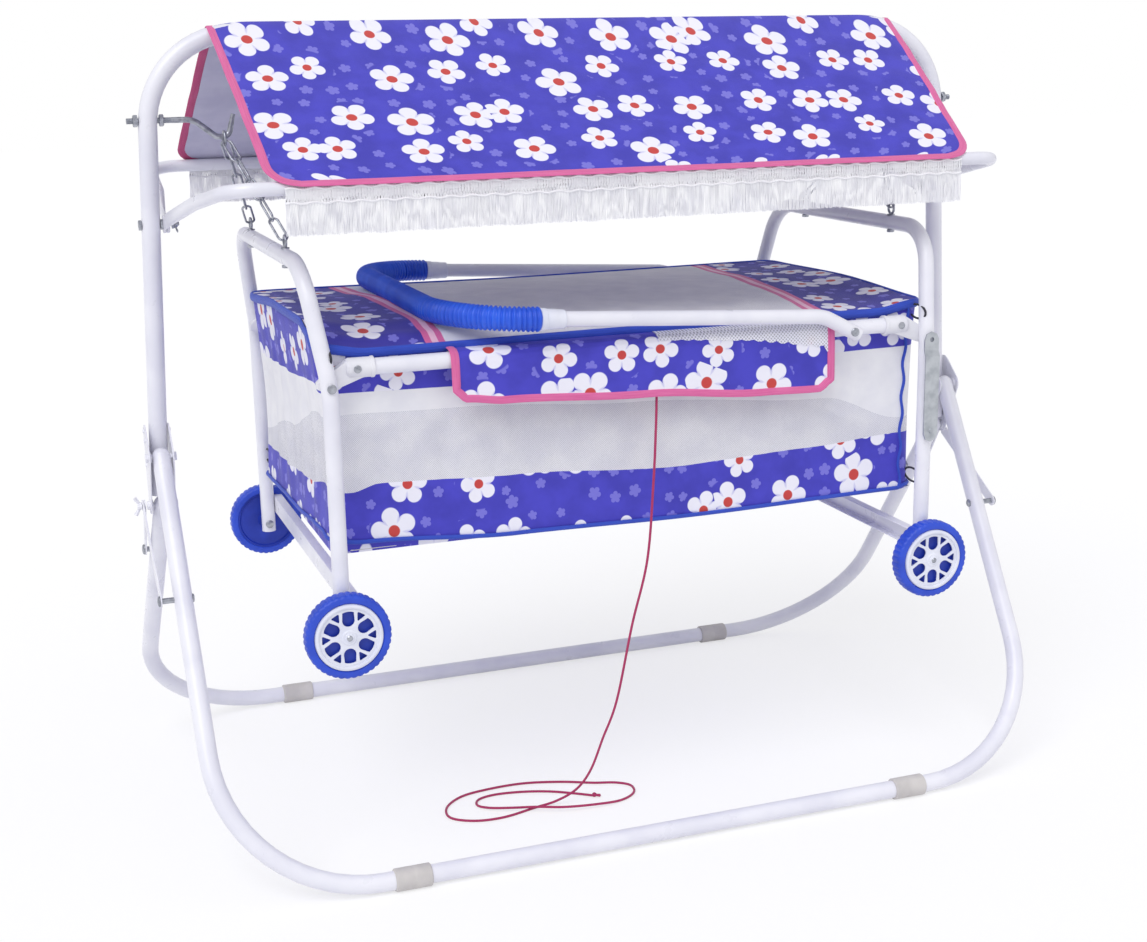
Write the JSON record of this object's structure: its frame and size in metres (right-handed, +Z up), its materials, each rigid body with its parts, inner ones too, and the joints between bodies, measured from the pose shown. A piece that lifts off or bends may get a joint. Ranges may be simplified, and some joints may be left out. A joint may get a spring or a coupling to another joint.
{
  "type": "baby cradle",
  "caption": "Folding tubular stand with a fringed canopy, and a fabric cradle basket on wheels that swings from chains.",
  "frame": {"origin": "on the floor under the stand's centre", "axes": "+X along the cradle to the right, -Y to the front, +Z up"},
  "size_m": [1.3338, 0.7592, 1.1296],
  "materials": {
    "white_coat": "white powder coat",
    "sleeve_plastic": "moulded",
    "elbow_plastic": "moulded",
    "grey_steel": "zinc plated",
    "chain_steel": "zinc plated",
    "blue_plastic": "moulded",
    "hub_plastic": "moulded",
    "print_cloth": "printed woven cloth",
    "net_cloth": "netting with a cloth edge",
    "board": "plain board",
    "cord_red": "soft round cord"
  },
  "bodies": {
    "stand": {"left_post": "white_coat", "right_post": "white_coat", "ridge_tube": "white_coat", "left_hinge_plate_outer": "white_coat", "left_hinge_plate_inner": "white_coat", "left_hook_rod": "chain_steel", "left_canopy_bolt": "chain_steel", "right_hinge_plate_outer": "white_coat", "right_hinge_plate_inner": "white_coat", "right_hook_rod": "chain_steel", "right_canopy_bolt": "chain_steel", "canopy_cloth_front": "print_cloth", "canopy_cloth_rear": "print_cloth"},
    "front_leg_frame": {"front_leg_left": "white_coat", "front_leg_right": "white_coat", "front_floor_bar": "white_coat", "front_sleeve_left": "sleeve_plastic", "front_sleeve_right": "sleeve_plastic"},
    "rear_leg_frame": {"rear_leg_left": "white_coat", "rear_leg_right": "white_coat", "rear_floor_bar": "white_coat", "rear_sleeve_left": "sleeve_plastic", "rear_sleeve_right": "sleeve_plastic"},
    "front_stays": {"left_front_stay": "white_coat", "right_front_stay": "white_coat"},
    "rear_stays": {"left_rear_stay": "white_coat", "right_rear_stay": "white_coat"},
    "canopy_front_arm": {"canopy_frame_front": "white_coat"},
    "canopy_rear_arm": {"canopy_frame_rear": "white_coat"},
    "cradle": {"left_end_frame": "white_coat", "right_end_frame": "white_coat", "left_crossbar": "white_coat", "right_crossbar": "white_coat", "left_chains": "chain_steel", "right_chains": "chain_steel", "front_elbow_left": "elbow_plastic", "front_elbow_right": "elbow_plastic", "rear_elbow_left": "elbow_plastic", "rear_elbow_right": "elbow_plastic", "front_rail": "white_coat", "rear_rail": "white_coat", "fabric_tub": "print_cloth", "net_cover": "net_cloth", "front_flap": "print_cloth", "base_board": "board", "pull_cord": "cord_red"},
    "push_handle": {"push_handle": "white_coat", "handle_grip": "blue_plastic"},
    "swing_lock": {"swing_lock_strap": "grey_steel"},
    "wheel_front_left": {"tyre_front_left": "blue_plastic", "hub_front_left": "hub_plastic"},
    "wheel_front_right": {"tyre_front_right": "blue_plastic", "hub_front_right": "hub_plastic"},
    "wheel_rear_left": {"tyre_rear_left": "blue_plastic", "hub_rear_left": "hub_plastic"},
    "wheel_rear_right": {"tyre_rear_right": "blue_plastic", "hub_rear_right": "hub_plastic"}
  },
  "joints": [
    {"name": "front_leg_fold", "type": "hinge", "parent": "stand", "child": "front_leg_frame", "pos_m": [0, -0.03, 0.543], "axis": [1, 0, 0], "range_deg": [0, 27]},
    {"name": "rear_leg_fold", "type": "hinge", "parent": "stand", "child": "rear_leg_frame", "pos_m": [0, 0, 0.468], "axis": [1, 0, 0], "range_deg": [-31.1, 0]},
    {"name": "front_stay_fold", "type": "hinge", "parent": "front_leg_frame", "child": "front_stays", "pos_m": [0, -0.14012, 0.36893], "axis": [1, 0, 0], "range_deg": [0, 24.1]},
    {"name": "rear_stay_fold", "type": "hinge", "parent": "rear_leg_frame", "child": "rear_stays", "pos_m": [0, 0.06635, 0.38544], "axis": [1, 0, 0], "range_deg": [0, 7.9]},
    {"name": "canopy_front_turn", "type": "hinge", "parent": "stand", "child": "canopy_front_arm", "pos_m": [0, 0, 0.861], "axis": [-1, 0, 0], "range_deg": [0, 45], "deforming": ["canopy_cloth_front"]},
    {"name": "canopy_rear_turn", "type": "hinge", "parent": "stand", "child": "canopy_rear_arm", "pos_m": [0, 0, 0.861], "axis": [1, 0, 0], "range_deg": [0, 45], "deforming": ["canopy_cloth_rear"]},
    {"name": "cradle_swing", "type": "hinge", "parent": "stand", "child": "cradle", "pos_m": [0, 0, 0.976], "axis": [1, 0, 0], "range_deg": [-18, 18]},
    {"name": "handle_lift", "type": "hinge", "parent": "cradle", "child": "push_handle", "pos_m": [0.31, 0, 0.69], "axis": [0, 1, 0], "range_deg": [0, 9]},
    {"name": "swing_lock_turn", "type": "hinge", "parent": "cradle", "child": "swing_lock", "pos_m": [0.436, -0.2941, 0.67], "axis": [0, -1, 0], "range_deg": [0, 90]},
    {"name": "wheel_turn_front_left", "type": "hinge", "parent": "cradle", "child": "wheel_front_left", "pos_m": [-0.436, -0.308, 0.346], "axis": [0, 1, 0], "continuous": true},
    {"name": "wheel_turn_front_right", "type": "hinge", "parent": "cradle", "child": "wheel_front_right", "pos_m": [0.436, -0.308, 0.346], "axis": [0, 1, 0], "continuous": true},
    {"name": "wheel_turn_rear_left", "type": "hinge", "parent": "cradle", "child": "wheel_rear_left", "pos_m": [-0.436, 0.308, 0.346], "axis": [0, 1, 0], "continuous": true},
    {"name": "wheel_turn_rear_right", "type": "hinge", "parent": "cradle", "child": "wheel_rear_right", "pos_m": [0.436, 0.308, 0.346], "axis": [0, 1, 0], "continuous": true}
  ],
  "couplings": [
    {"joint": "rear_leg_fold", "follows": "front_leg_fold", "ratio": -1.15},
    {"joint": "front_stay_fold", "follows": "front_leg_fold", "ratio": 0.89},
    {"joint": "rear_stay_fold", "follows": "front_leg_fold", "ratio": 0.29}
  ]
}
